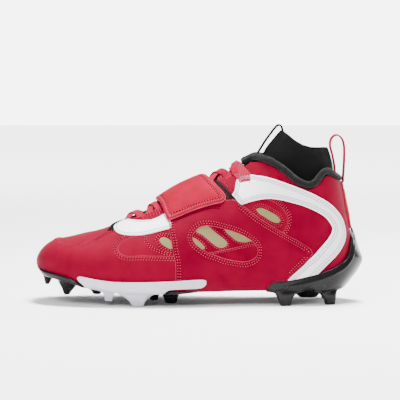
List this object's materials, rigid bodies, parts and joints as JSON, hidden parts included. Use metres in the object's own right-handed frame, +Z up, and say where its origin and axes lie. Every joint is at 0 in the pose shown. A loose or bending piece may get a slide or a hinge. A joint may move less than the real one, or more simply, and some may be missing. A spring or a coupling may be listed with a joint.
{
  "type": "american football cleat",
  "caption": "Mid-cut studded sports shoe with knitted sock collar, padded instep strap, flat laces, pull loops and moulded outsole plates.",
  "frame": {"origin": "on the ground, at the centre of the shoe's box", "axes": "+X runs along the shoe from toe to heel, +Y to the inner side of the foot, +Z up"},
  "size_m": [0.3006, 0.1059, 0.1644],
  "materials": {
    "red_synthetic": "fine nubuck-like synthetic",
    "red_leather": "smooth satin",
    "white_overlay": "smooth satin",
    "insole_board": "brushed cloth",
    "black_knit": "knitted",
    "fleece": "brushed fleece",
    "dark_plate": "moulded gloss",
    "pale_plate": "moulded satin",
    "webbing_red": "woven webbing",
    "webbing_black": "woven webbing",
    "lace": "flat woven",
    "mesh_yellow": "open mesh"
  },
  "bodies": {
    "root": {"upper": "red_synthetic", "insole": "insole_board", "bootie": "black_knit", "collar_roll": "fleece", "forefoot_plate": "dark_plate", "side_plate_lateral": "pale_plate", "side_plate_medial": "pale_plate", "heel_plate": "dark_plate", "quarter_lateral": "red_leather", "quarter_medial": "red_leather", "strap": "red_synthetic", "lace_cross_front": "lace", "lace_cross_middle": "lace", "lace_cross_rear": "lace", "lace_bar_top": "lace", "pull_loop_front": "webbing_black", "pull_loop_heel": "webbing_red", "heel_tab": "webbing_red"}
  },
  "joints": []
}
